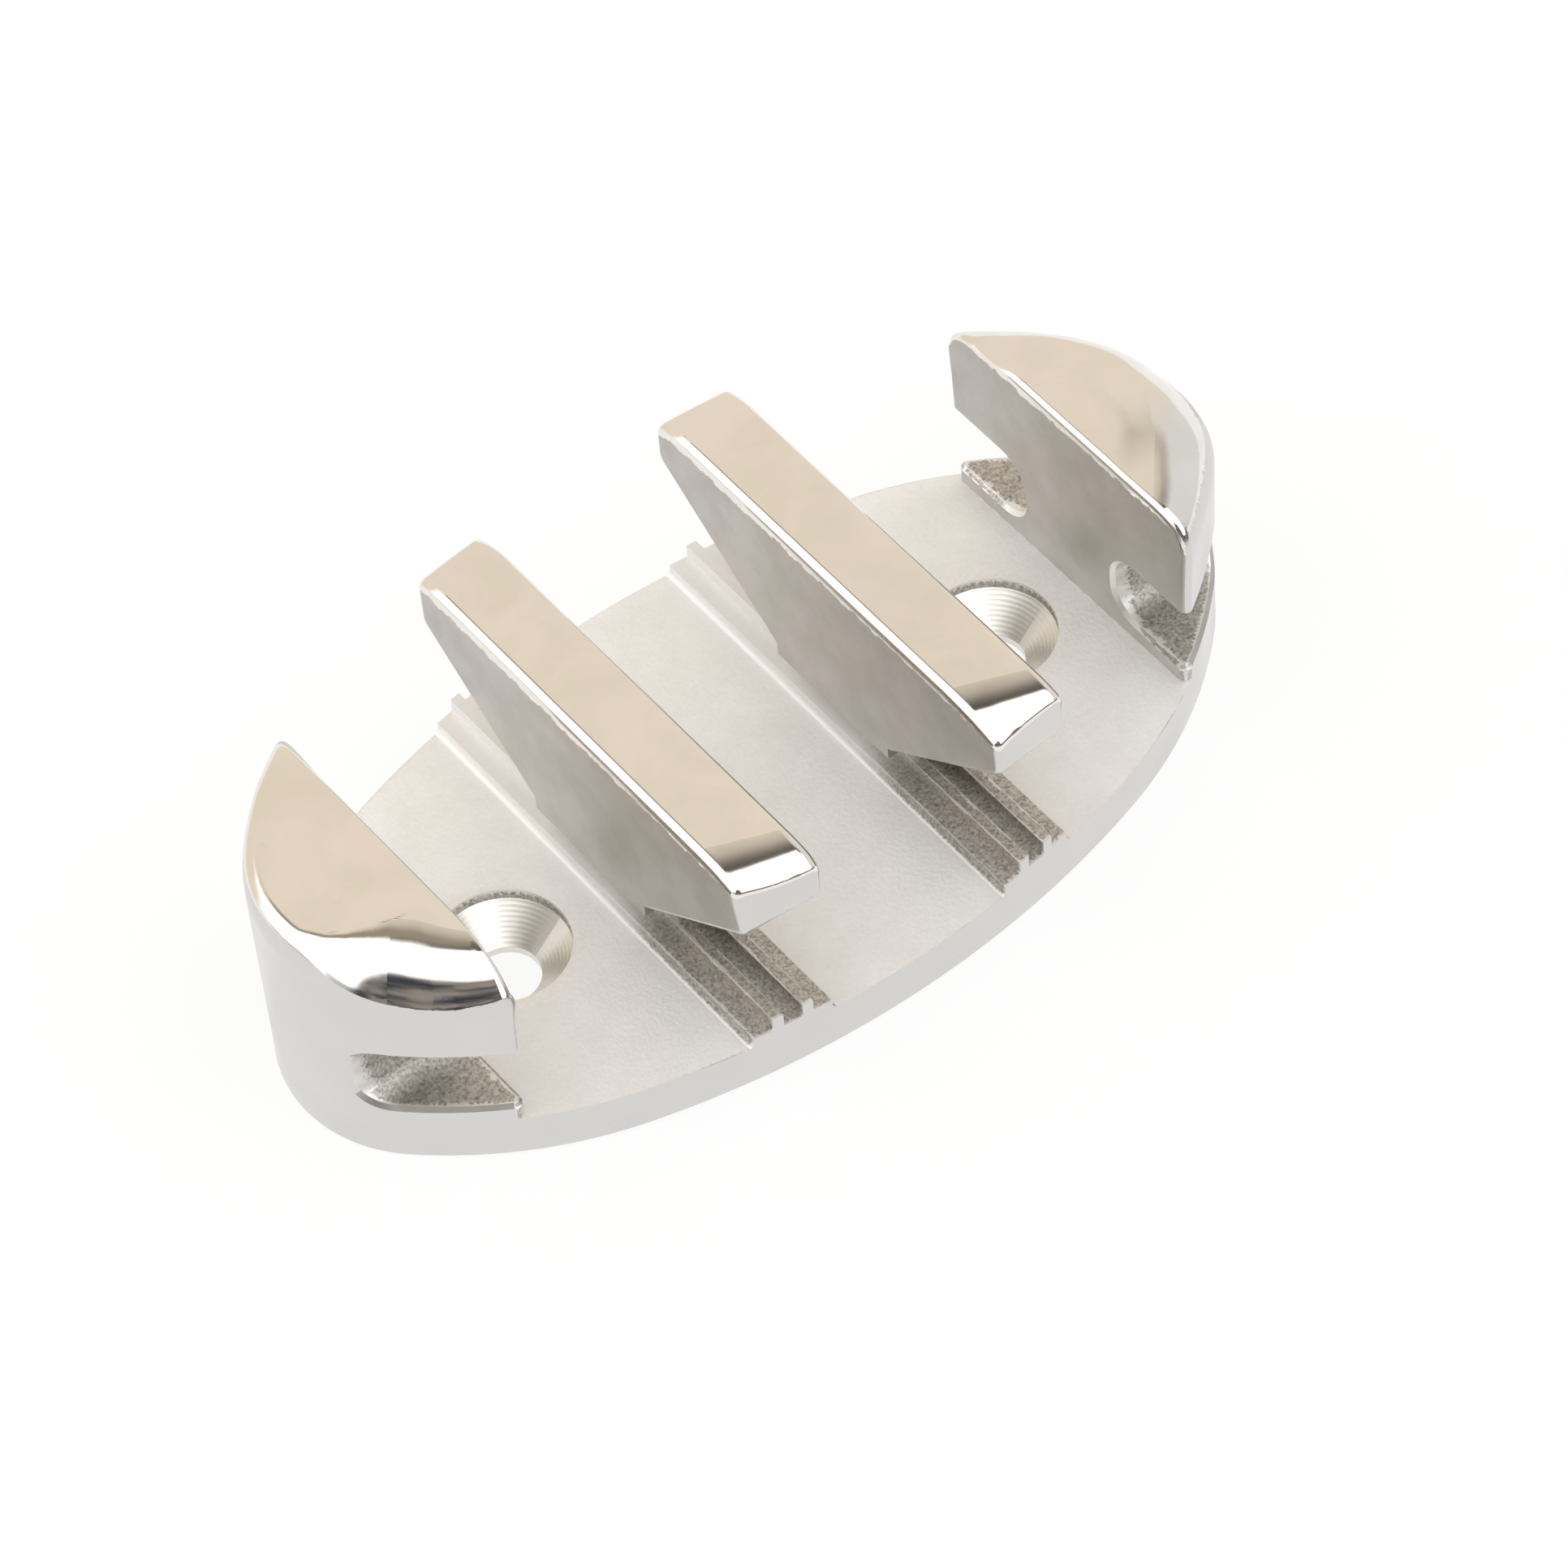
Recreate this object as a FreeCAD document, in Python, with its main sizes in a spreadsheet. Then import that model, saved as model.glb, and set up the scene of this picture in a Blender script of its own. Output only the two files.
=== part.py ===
import FreeCAD, Part
import math
import os
import re
import Sketcher

# Zig zag cleat: one stainless steel casting that a rope is woven through.
# An oval base carries a crescent horn at each end and two straight bars between them.
# Bars and horns stand equally far apart, so three equal rope gaps run across the cleat.
# Each bar is a T seen from the side: a short web with arms that overhang stepped ribs.
# Each horn is undercut by a slot at both of its tips, where the rope enters and leaves.
#
# Frame: X along the cleat, Y along the bars, Z up, origin under the middle of the base.

doc = FreeCAD.newDocument("zig_zag_cleat")

# Driving dimensions, in millimetres and degrees.
SIZES = [
    ("overall_length", 104.8, "base and horns, along X"),
    ("overall_width", 52.4, "base and bars, along Y"),
    ("overall_height", 28.0, "underside of the base to the tops"),
    ("side_fullness", 0.952, "side arc of the oval, as a share of an ellipse's own radius there"),
    ("end_fullness", 1.13, "end arc of the oval, in the same way"),
    ("flank_fullness", 1.207, "arc between them, as a share of their mean radius"),
    ("base_thickness", 5.4, "underside to the floor of the rope gaps"),
    ("bar_thickness", 8.2, "each straight bar, along X"),
    ("rope_gap", 20.4, "clear width between neighbouring uprights"),
    ("web_half_length", 8.4, "middle of a bar to the end of its web"),
    ("web_end_height", 4.7, "floor to where the arm leaves the web"),
    ("arm_slope", 36.0, "underside of an arm, above the horizontal"),
    ("low_rib_height", 1.2, "outer step of the rib stack, above the floor"),
    ("high_rib_height", 2.8, "inner step of the rib stack, above the floor"),
    ("low_rib_width", 2.0, "tread of the outer step"),
    ("high_rib_width", 1.1, "tread of the inner step"),
    ("sill_height", 2.1, "floor to the bottom of a horn slot"),
    ("slot_height", 7.9, "clear height of a horn slot"),
    ("slot_end", 6.6, "middle of a horn to the closed end of its slot"),
    ("slot_end_radius", 3.2, "rounded corners at the closed end"),
    ("sill_corner", 0.8, "upright corner of the slot floor at the rim"),
    ("slot_mouth", 0.4, "chamfer all round a slot"),
    ("crown_length", 4.2, "stretch of a bar top that bends down at its end"),
    ("crown_radius", 9.3, "bend of that stretch"),
    ("hole_spacing", 58.0, "between the two screw holes"),
    ("hole_diameter", 6.6, "clearance for a 6 mm or quarter inch screw"),
    ("head_diameter", 13.1, "recess for the screw head"),
    ("head_recess", 1.3, "straight wall above the countersink"),
    ("countersink_angle", 90.0, "full angle of the countersink"),
    ("horn_shoulder", 4.4, "round along the outer top edge of a horn"),
    ("horn_edge", 0.7, "round along the inner face of a horn, down to its slots"),
    ("bar_corner", 0.6, "upright edges at the ends of a bar"),
    ("arm_tip_round", 1.8, "lower edge at the end of an arm"),
    ("bar_edge", 1.0, "round along the top of a bar"),
    ("foot_fillet", 0.6, "hollow fillet along the foot of a bar"),
    ("base_edge", 0.5, "chamfer round the underside"),
    ("cut_margin", 1.0, "how far a cutter reaches past the metal"),
]

sheet = doc.addObject("Spreadsheet::Sheet", "sizes")
for row, (alias, value, note) in enumerate(SIZES, start=1):
    sheet.set(f"A{row}", alias)
    sheet.set(f"B{row}", str(value))
    sheet.set(f"C{row}", note)
    sheet.setAlias(f"B{row}", alias)
doc.recompute()

NEAR = 0.01  # how closely an edge has to lie where it is looked for


def sized(formula):
    """Turn a formula in size names into one that reads the sheet."""
    return re.sub(r"[a-z]+(?:_[a-z]+)+", r"sizes.\g<0>", formula)


# Places that several features share, as formulas in size names.
FLOOR = "base_thickness"
TOP = "overall_height"
RIM = "(overall_width / 2)"
END = "(overall_length / 2)"
BAR_INNER = "(rope_gap / 2)"
BAR_OUTER = "(rope_gap / 2 + bar_thickness)"
BAR_MIDDLE = "((rope_gap + bar_thickness) / 2)"
HORN_FACE = "(3 * rope_gap / 2 + bar_thickness)"
HIGH_RIB = "(base_thickness + high_rib_height)"
LOW_RIB = "(base_thickness + low_rib_height)"
WEB_END = "(base_thickness + web_end_height)"
SILL = "(base_thickness + sill_height)"
SLOT_TOP = "(base_thickness + sill_height + slot_height)"
SIDE_RADIUS = "(side_fullness * pow(overall_length; 2) / (2 * overall_width))"
END_RADIUS = "(end_fullness * pow(overall_width; 2) / (2 * overall_length))"
FLANK_RADIUS = f"(flank_fullness * sqrt({SIDE_RADIUS} * {END_RADIUS}))"
ABOVE = "(overall_height + cut_margin)"
PAST_RIM = "(overall_width / 2 + cut_margin)"


def new_sketch(body, name, role, lift=None):
    """Open a sketch on one of the body's own planes, or lifted along its normal."""
    sketch = body.newObject("Sketcher::SketchObject", name)
    plane = next(item for item in body.Origin.OriginFeatures if item.Role == role)
    sketch.AttachmentSupport = [(plane, "")]
    sketch.MapMode = "FlatFace"
    if lift:
        sketch.setExpression("AttachmentOffset.Base.z", sized(lift))
    return sketch


def hold(sketch, name, axis, geometry, end, formula):
    """Hold a point of a sketch at a formula measured from the origin along one axis."""
    drawn = sketch.getPoint(geometry, end)
    now = drawn.x if axis == "X" else drawn.y
    index = sketch.addConstraint(Sketcher.Constraint(f"Distance{axis}", -1, 1, geometry, end, now))
    sketch.renameConstraint(index, name)
    sketch.setExpression(f"Constraints.{name}", sized(formula))


def hold_both(sketch, name, geometry, end, across, up):
    """Hold a point of a sketch at two formulas measured from the origin."""
    hold(sketch, f"{name}_x", "X", geometry, end, across)
    hold(sketch, f"{name}_y", "Y", geometry, end, up)


def add_outline(sketch, name, corners):
    """Draw a closed outline of straight lines through corners given as formulas."""
    count = len(corners)
    turns = [1 + 2 * math.pi * k / count for k in range(count + 1)]
    ring = [FreeCAD.Vector(20 * math.cos(turn), 20 * math.sin(turn), 0) for turn in turns]
    first = sketch.GeometryCount
    sketch.addGeometry([Part.LineSegment(ring[k], ring[k + 1]) for k in range(count)], False)
    for k, (across, up) in enumerate(corners):
        following = first + (k + 1) % count
        sketch.addConstraint(Sketcher.Constraint("Coincident", first + k, 2, following, 1))
        hold_both(sketch, f"{name}_{k}", first + k, 1, across, up)


def window(left, right, bottom, top):
    """Corners of an upright rectangle."""
    return [(left, bottom), (right, bottom), (right, top), (left, top)]


def cut(body, name, sketch, width=None, both_ways=False, away=False):
    """Cut a sketch through the body: one way, both ways, or over a width about its plane."""
    before = body.Shape.Volume
    pocket = body.newObject("PartDesign::Pocket", name)
    pocket.Profile = sketch
    pocket.Type = "Length" if width else "ThroughAll"
    pocket.SideType = "Symmetric" if width or both_ways else "One side"
    pocket.Reversed = away
    if width:
        pocket.setExpression("Length", sized(width))
    doc.recompute()
    if not pocket.Shape.Volume < before - NEAR:
        raise ValueError(f"{name} cuts nothing")
    return pocket


def mirror(body, name, features, role):
    """Repeat cuts on the other side of one of the body's planes."""
    before = body.Shape.Volume
    plane = next(item for item in body.Origin.OriginFeatures if item.Role == role)
    copy = body.newObject("PartDesign::Mirrored", name)
    copy.Originals = features
    copy.MirrorPlane = (plane, [""])
    body.Tip = copy
    doc.recompute()
    if not copy.Shape.Volume < before - NEAR:
        raise ValueError(f"{name} cuts nothing")
    return copy


def ease_edges(body, kind, name, amount, wanted):
    """Round or chamfer the edges of the body that a test picks out."""
    base = body.Tip
    edges = enumerate(base.Shape.Edges, start=1)
    picked = [f"Edge{index}" for index, edge in edges if wanted(edge)]
    if not picked:
        raise ValueError(f"{name} finds no edge")
    eased = body.newObject(f"PartDesign::{kind}", name)
    eased.Base = (base, picked)
    eased.setExpression("Radius" if kind == "Fillet" else "Size", sized(amount))
    doc.recompute()
    if "Invalid" in eased.State or "Error" in eased.State:
        raise ValueError(f"{name} failed: {eased.State}")


body = doc.addObject("PartDesign::Body", "cleat_casting")
body.Label = "cleat_casting"

# Oval blank, as high as the finished casting. Its outline is eight tangent arcs:
# a flat one along each side, a tight one round each end, and a flank between each pair.
# Each arc is drawn about where it lies, and its sizes then bring it to its place.
SIDE_TURN = 73  # degrees from +X at which the side arc starts
END_TURN = 45  # degrees from +X at which the end arc stops
oval = new_sketch(body, "oval", "XY_Plane")
drawn_arcs = [
    (END_RADIUS, 37, 0, 15, -END_TURN, END_TURN),
    (FLANK_RADIUS, 15, -22, 46, END_TURN, SIDE_TURN),
    (SIDE_RADIUS, 0, -73, 99, SIDE_TURN, 180 - SIDE_TURN),
    (FLANK_RADIUS, -15, -22, 46, 180 - SIDE_TURN, 180 - END_TURN),
    (END_RADIUS, -37, 0, 15, 180 - END_TURN, 180 + END_TURN),
    (FLANK_RADIUS, -15, 22, 46, 180 + END_TURN, 180 + SIDE_TURN),
    (SIDE_RADIUS, 0, 73, 99, 180 + SIDE_TURN, 360 - SIDE_TURN),
    (FLANK_RADIUS, 15, 22, 46, 360 - SIDE_TURN, 360 - END_TURN),
]
for formula, middle_x, middle_y, radius, first, last in drawn_arcs:
    circle = Part.Circle(FreeCAD.Vector(middle_x, middle_y, 0), FreeCAD.Vector(0, 0, 1), radius)
    oval.addGeometry(Part.ArcOfCircle(circle, math.radians(first), math.radians(last)), False)
for arc, (formula, *drawn) in enumerate(drawn_arcs):
    following = (arc + 1) % len(drawn_arcs)
    oval.addConstraint(Sketcher.Constraint("Tangent", arc, 2, following, 1))
    index = oval.addConstraint(Sketcher.Constraint("Radius", arc, drawn[2]))
    oval.renameConstraint(index, f"radius_{arc}")
    oval.setExpression(f"Constraints.radius_{arc}", sized(formula))
for arc, side in ((0, ""), (4, "-")):
    oval.addConstraint(Sketcher.Constraint("PointOnObject", arc, 3, -1))
    hold(oval, f"end_{arc}", "X", arc, 3, f"{side}({END} - {END_RADIUS})")
for arc, side in ((2, ""), (6, "-")):
    oval.addConstraint(Sketcher.Constraint("PointOnObject", arc, 3, -2))
    hold(oval, f"side_{arc}", "Y", arc, 3, f"{side}({RIM} - {SIDE_RADIUS})")
doc.recompute()

blank = body.newObject("PartDesign::Pad", "blank")
blank.Profile = oval
blank.setExpression("Length", sized(TOP))
doc.recompute()

# Three rope gaps, cut down to the floor, leave two horns and two bars standing.
gaps = new_sketch(body, "gaps", "XZ_Plane")
add_outline(gaps, "middle_gap", window(f"-{BAR_INNER}", BAR_INNER, FLOOR, ABOVE))
add_outline(gaps, "left_gap", window(f"-{HORN_FACE}", f"-{BAR_OUTER}", FLOOR, ABOVE))
add_outline(gaps, "right_gap", window(BAR_OUTER, HORN_FACE, FLOOR, ABOVE))
cut(body, "rope_gaps", gaps, both_ways=True)

# The cuts that shape the bars reach halfway into the outer rope gaps.
BARS_ONLY = "2 * (rope_gap + bar_thickness)"

# Arms: the metal beyond the web is cut away between the ribs and a slope.
SLOPE_END = f"({WEB_END} + ({PAST_RIM} - web_half_length) * tan(arm_slope))"
arm = new_sketch(body, "arm", "YZ_Plane")
add_outline(arm, "arm", [
    ("web_half_length", HIGH_RIB),
    (PAST_RIM, HIGH_RIB),
    (PAST_RIM, SLOPE_END),
    ("web_half_length", WEB_END),
])
under_arm = cut(body, "under_arm", arm, width=BARS_ONLY)

# Rib stack below each arm: two steps up from each side, and a channel down the middle.
STEP_TOP = "(base_thickness + (high_rib_height + web_end_height) / 2)"
RIB_WIDTHS = "(low_rib_width + high_rib_width)"
steps = new_sketch(body, "steps", "XZ_Plane", lift="-web_half_length")
for bar, side in (("left", "-"), ("right", "")):
    for step, start, stop in (
        ("inner_step", f"{BAR_INNER} - cut_margin", f"{BAR_INNER} + low_rib_width"),
        ("channel", f"{BAR_INNER} + {RIB_WIDTHS}", f"{BAR_OUTER} - {RIB_WIDTHS}"),
        ("outer_step", f"{BAR_OUTER} - low_rib_width", f"{BAR_OUTER} + cut_margin"),
    ):
        corners = window(f"{side}({start})", f"{side}({stop})", LOW_RIB, STEP_TOP)
        add_outline(steps, f"{bar}_{step}", corners)
rib_steps = cut(body, "rib_steps", steps, away=True)

# Crown: the last stretch of each bar top bends down in an arc, which ends past the rim.
SIDE_SAG = f"({SIDE_RADIUS} - sqrt(pow({SIDE_RADIUS}; 2) - pow({BAR_MIDDLE}; 2)))"
BAR_REACH = f"({RIM} - {SIDE_SAG})"
CROWN_START = f"({BAR_REACH} - crown_length)"
crown = new_sketch(body, "crown", "YZ_Plane")
bend = Part.Circle(FreeCAD.Vector(20, 20, 0), FreeCAD.Vector(0, 0, 1), 10)
bend_start = FreeCAD.Vector(20, 30, 0)
above_start = FreeCAD.Vector(20, 31, 0)
above_end = FreeCAD.Vector(26, 31, 0)
bend_end = FreeCAD.Vector(26, 28, 0)
crown.addGeometry([
    Part.LineSegment(bend_start, above_start),
    Part.LineSegment(above_start, above_end),
    Part.LineSegment(above_end, bend_end),
    Part.ArcOfCircle(bend, math.radians(53), math.radians(90)),
], False)
for line, end, following, start in ((0, 2, 1, 1), (1, 2, 2, 1), (2, 2, 3, 1), (3, 2, 0, 1)):
    crown.addConstraint(Sketcher.Constraint("Coincident", line, end, following, start))
crown.addConstraint(Sketcher.Constraint("Vertical", 2))
hold_both(crown, "bend_start", 0, 1, CROWN_START, TOP)
hold_both(crown, "above_start", 1, 1, CROWN_START, ABOVE)
hold_both(crown, "above_end", 1, 2, PAST_RIM, ABOVE)
hold_both(crown, "bend_centre", 3, 3, CROWN_START, f"{TOP} - crown_radius")
bent_end = cut(body, "bent_end", crown, width=BARS_ONLY)

mirror(body, "far_ends", [under_arm, rib_steps, bent_end], "XZ_Plane")

# Horn slots: the rope enters and leaves below the tips.
slots = new_sketch(body, "slots", "YZ_Plane", lift=f"{HORN_FACE} - cut_margin")
add_outline(slots, "near_slot", window(f"-{PAST_RIM}", "-slot_end", SILL, SLOT_TOP))
add_outline(slots, "far_slot", window("slot_end", PAST_RIM, SILL, SLOT_TOP))
right_slots = cut(body, "right_slots", slots, away=True)
mirror(body, "left_slots", [right_slots], "YZ_Plane")

# Countersunk screw holes, each in the floor of an outer rope gap.
centres = new_sketch(body, "centres", "XY_Plane", lift=FLOOR)
for hole, side in enumerate(("-", "")):
    middle = FreeCAD.Vector(20 * hole - 10, 0, 0)
    centres.addGeometry(Part.Circle(middle, FreeCAD.Vector(0, 0, 1), 3), False)
    centres.addConstraint(Sketcher.Constraint("PointOnObject", hole, 3, -1))
    hold(centres, f"hole_{hole}", "X", hole, 3, f"{side}hole_spacing / 2")
doc.recompute()
before_holes = body.Shape.Volume
holes = body.newObject("PartDesign::Hole", "screw_holes")
holes.Profile = centres
doc.recompute()
holes.DepthType = "ThroughAll"
holes.HoleCutType = "Counterdrill"
holes.HoleCutCustomValues = True
for setting, alias in (
    ("Diameter", "hole_diameter"),
    ("HoleCutDiameter", "head_diameter"),
    ("HoleCutDepth", "head_recess"),
    ("HoleCutCountersinkAngle", "countersink_angle"),
):
    holes.setExpression(setting, sized(alias))
doc.recompute()
if not body.Shape.Volume < before_holes - NEAR:
    raise ValueError("screw_holes cuts nothing")

# Where the edges that get rounded lie.
floor = float(sheet.base_thickness)
top = float(sheet.overall_height)
sill = floor + sheet.sill_height
slot_top = sill + sheet.slot_height
web_end = floor + sheet.web_end_height
bar_outer = sheet.rope_gap / 2 + sheet.bar_thickness
horn_face = bar_outer + sheet.rope_gap


def along(edge, axis):
    """Whether an edge has length in this direction alone."""
    box = edge.BoundBox
    lengths = {"X": box.XLength, "Y": box.YLength, "Z": box.ZLength}
    return all((length > NEAR) == (name == axis) for name, length in lengths.items())


def level(edge, height):
    """Whether an edge lies flat at a height."""
    box = edge.BoundBox
    return abs(box.ZMin - height) < NEAR and abs(box.ZMax - height) < NEAR


def reach_x(edge):
    """How far an edge stretches from the middle of the cleat along X."""
    return max(-edge.BoundBox.XMin, edge.BoundBox.XMax)


def reach_y(edge):
    """How far an edge stretches from the middle of the cleat along Y."""
    return max(-edge.BoundBox.YMin, edge.BoundBox.YMax)


def on_bar(edge):
    """Whether an edge belongs to a bar or to the floor between the bars."""
    return reach_x(edge) < bar_outer + NEAR


def on_horn(edge):
    """Whether an edge lies beyond the inner face of a horn."""
    return reach_x(edge) > horn_face + NEAR


def on_horn_face(edge):
    """Whether an edge lies in the inner face of a horn."""
    return edge.BoundBox.XLength < NEAR and abs(reach_x(edge) - horn_face) < NEAR


def arm_tip(edge):
    """Lower edge of an arm's end: it crosses the bar, and both its ends lie on the slope."""
    rise = math.tan(math.radians(sheet.arm_slope))
    off_slope = [
        corner.Z - web_end - (abs(corner.Y) - sheet.web_half_length) * rise
        for corner in edge.Vertexes
    ]
    beyond_web = reach_y(edge) > sheet.web_half_length + NEAR
    crosses = on_bar(edge) and edge.BoundBox.XLength > NEAR
    return crosses and beyond_web and max(map(abs, off_slope)) < NEAR


def bar_top_edge(edge):
    """Long top edge of a bar, with the bends at its ends."""
    box = edge.BoundBox
    return on_bar(edge) and box.XLength < NEAR < box.YLength and abs(box.ZMax - top) < NEAR


def bar_corner(edge):
    """Upright corner at the end of an arm."""
    return on_bar(edge) and along(edge, "Z") and edge.BoundBox.ZMin > web_end + NEAR


def slot_end(edge):
    """Corner at the closed end of a slot."""
    return on_horn(edge) and along(edge, "X") and abs(reach_y(edge) - sheet.slot_end) < NEAR


def horn_shoulder(edge):
    """Outer edge of a horn's top."""
    return on_horn(edge) and level(edge, top)


def horn_inner(edge):
    """Inner edge of a horn's top. The round runs on down both tips to the slots."""
    return on_horn_face(edge) and level(edge, top)


def sill_corner(edge):
    """Upright corner between a slot's floor, the horn's inner face and the rim."""
    return on_horn_face(edge) and along(edge, "Z") and abs(edge.BoundBox.ZMax - sill) < NEAR


def slot_mouth(edge):
    """Upper edge of a slot. The chamfer runs on all round its mouth."""
    return on_horn_face(edge) and level(edge, slot_top)


def bar_foot(edge):
    """Edge where a bar's side meets the floor of a rope gap."""
    return on_bar(edge) and along(edge, "Y") and level(edge, floor)


def under_rim(edge):
    """Edge of the underside, apart from the screw holes."""
    return level(edge, 0) and not edge.isClosed()


for kind, name, amount, wanted in (
    ("Fillet", "arm_tips", "arm_tip_round", arm_tip),
    ("Fillet", "bar_edges", "bar_edge", bar_top_edge),
    ("Fillet", "bar_corners", "bar_corner", bar_corner),
    ("Fillet", "slot_ends", "min(slot_end_radius; slot_height / 2 - slot_mouth)", slot_end),
    ("Fillet", "horn_shoulders", "horn_shoulder", horn_shoulder),
    ("Fillet", "horn_inner_edges", "min(horn_edge; horn_shoulder / 2)", horn_inner),
    ("Fillet", "sill_corners", "sill_corner", sill_corner),
    ("Chamfer", "slot_mouths", "slot_mouth", slot_mouth),
    ("Fillet", "bar_feet", "min(foot_fillet; low_rib_height / 2)", bar_foot),
    ("Chamfer", "underside_edge", "base_edge", under_rim),
):
    ease_edges(body, kind, name, amount, wanted)

for item in doc.Objects:
    if "Invalid" in item.State or "Error" in item.State:
        raise ValueError(f"{item.Name} failed: {item.State}")

os.makedirs("parts", exist_ok=True)
for part in doc.findObjects("PartDesign::Body"):
    if part.Shape.isNull() or not part.Shape.isValid() or len(part.Shape.Solids) != 1:
        raise ValueError(f"{part.Label} is not one valid solid")
    part.Shape.exportStep(f"parts/{part.Label}.step")
    print(f"{part.Label}: {part.Shape.Volume / 1000:.2f} cubic centimetres")
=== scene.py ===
import math

import bpy
import numpy as np
from mathutils import Matrix, Vector


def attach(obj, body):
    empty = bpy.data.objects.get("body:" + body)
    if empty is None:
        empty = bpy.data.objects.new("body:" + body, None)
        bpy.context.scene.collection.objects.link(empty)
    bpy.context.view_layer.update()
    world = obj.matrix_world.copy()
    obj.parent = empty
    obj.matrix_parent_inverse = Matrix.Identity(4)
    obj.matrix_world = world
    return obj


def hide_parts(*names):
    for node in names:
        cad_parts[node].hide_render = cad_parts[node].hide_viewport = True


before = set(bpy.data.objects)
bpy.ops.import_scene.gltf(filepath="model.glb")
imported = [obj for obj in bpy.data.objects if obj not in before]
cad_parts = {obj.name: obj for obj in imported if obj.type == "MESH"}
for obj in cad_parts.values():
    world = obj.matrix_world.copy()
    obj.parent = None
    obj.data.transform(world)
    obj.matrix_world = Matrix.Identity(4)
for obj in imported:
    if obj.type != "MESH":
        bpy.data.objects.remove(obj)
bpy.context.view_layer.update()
scene = bpy.context.scene

# The casting is one piece of stainless steel: an oval base with two bars and two horns. It comes
# from the mould with a fine grain all over, and its tops, ends and rim are then ground and buffed.
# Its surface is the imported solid's own, cut into smaller triangles that the finishes can follow.
MM = 0.001  # every size is in mm, and this makes it metres
LONGEST_EDGE = 1.5
LONGEST_PLAIN_EDGE = 4.0
LONGEST_RIM_EDGE = 0.8
LONGEST_TOP_EDGE = 1.0
HALF_LENGTH = 52.4
HALF_WIDTH = 26.2
HORN_FACE_X = 38.8
BAR_NEAR_X = 10.2
BAR_FAR_X = 18.4
BAR_MIDDLE_X = (BAR_NEAR_X + BAR_FAR_X) / 2
BAR_HALF_WIDTH = (BAR_FAR_X - BAR_NEAR_X) / 2
BAR_END_Y = 17.0
BASE_TOP = 5.4
RIBS_BELOW = 12.0
SLOT_TOP = 15.4
END_FACES_FROM = 17.0
STRETCH_FROM = 20.0  # the height above which the buffing wheel has rounded the horns and bars
SCREW_X = 29.0
RECESS_RADIUS = 6.55
RECESS_WALL = 1.3

# Which smaller triangles one becomes, by its halved edges: 1 for the first, 2 and 4 for the others.
# Corners are 0, 1 and 2, and the middles of the edges between them are 3, 4 and 5.
SPLITS = {
    0: [(0, 1, 2)],
    1: [(0, 3, 2), (3, 1, 2)],
    2: [(0, 1, 4), (0, 4, 2)],
    3: [(3, 1, 4), (0, 3, 4), (0, 4, 2)],
    4: [(0, 1, 5), (5, 1, 2)],
    5: [(0, 3, 5), (3, 1, 2), (3, 2, 5)],
    6: [(5, 4, 2), (0, 1, 4), (0, 4, 5)],
    7: [(0, 3, 5), (3, 1, 4), (5, 4, 2), (3, 4, 5)],
}


def unit(vectors):
    """The same directions, each with a length of one."""
    return vectors / np.maximum(np.linalg.norm(vectors, axis=-1, keepdims=True), 1e-12)


def read_surface(mesh):
    """Points in mm, triangles and corner normals of a mesh. Points in one place become one."""
    points = np.empty(len(mesh.vertices) * 3)
    mesh.vertices.foreach_get("co", points)
    corners = np.empty(len(mesh.loops), dtype=np.int32)
    mesh.loops.foreach_get("vertex_index", corners)
    normals = np.empty(len(mesh.loops) * 3)
    mesh.corner_normals.foreach_get("vector", normals)
    points = points.reshape(-1, 3) / MM
    _, first, same = np.unique(points.round(3), axis=0, return_index=True, return_inverse=True)
    faces = same.reshape(-1)[corners].reshape(-1, 3)
    normals = normals.reshape(-1, 3, 3)
    whole = (faces != np.roll(faces, 1, axis=1)).all(axis=1)
    return points[first], faces[whole], normals[whole]


def list_edges(faces):
    """Each edge once, as its two points, and for each triangle the numbers of its three edges."""
    pairs = np.sort(faces[:, [[0, 1], [1, 2], [2, 0]]], axis=2).reshape(-1, 2)
    edges, owner = np.unique(pairs, axis=0, return_inverse=True)
    return edges, owner.reshape(-1, 3)


def longest_at(places):
    """The longest edge allowed at each place: long where little is worn or reshaped, such as the
    underside, the middle of the floor and the bars, and short round the rim and its slots and on
    the horns' tops."""
    x, y, z = np.abs(places).T
    oval = np.hypot(x / HALF_LENGTH, y / HALF_WIDTH)
    on_floor = (np.abs(z - BASE_TOP) < 0.01) & (oval < 0.88)
    on_bar = (x > BAR_NEAR_X - 0.9) & (x < BAR_FAR_X + 0.9) & (z > BASE_TOP + 0.05)
    on_bar &= (z < RIBS_BELOW + 0.5) | (y < BAR_END_Y)
    on_wall = (x > HORN_FACE_X - 0.1) & (z > BASE_TOP + 3) & (z < STRETCH_FROM - 1)
    longest = np.where((z < 0.3) | on_floor | on_bar | on_wall, LONGEST_PLAIN_EDGE, LONGEST_EDGE)
    near_rim = (oval > 0.93) & (z > BASE_TOP - 1) & (z < BASE_TOP + 3)
    longest[near_rim] = LONGEST_RIM_EDGE
    longest[(x > HORN_FACE_X) & (z > STRETCH_FROM)] = LONGEST_TOP_EDGE
    return longest


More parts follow.
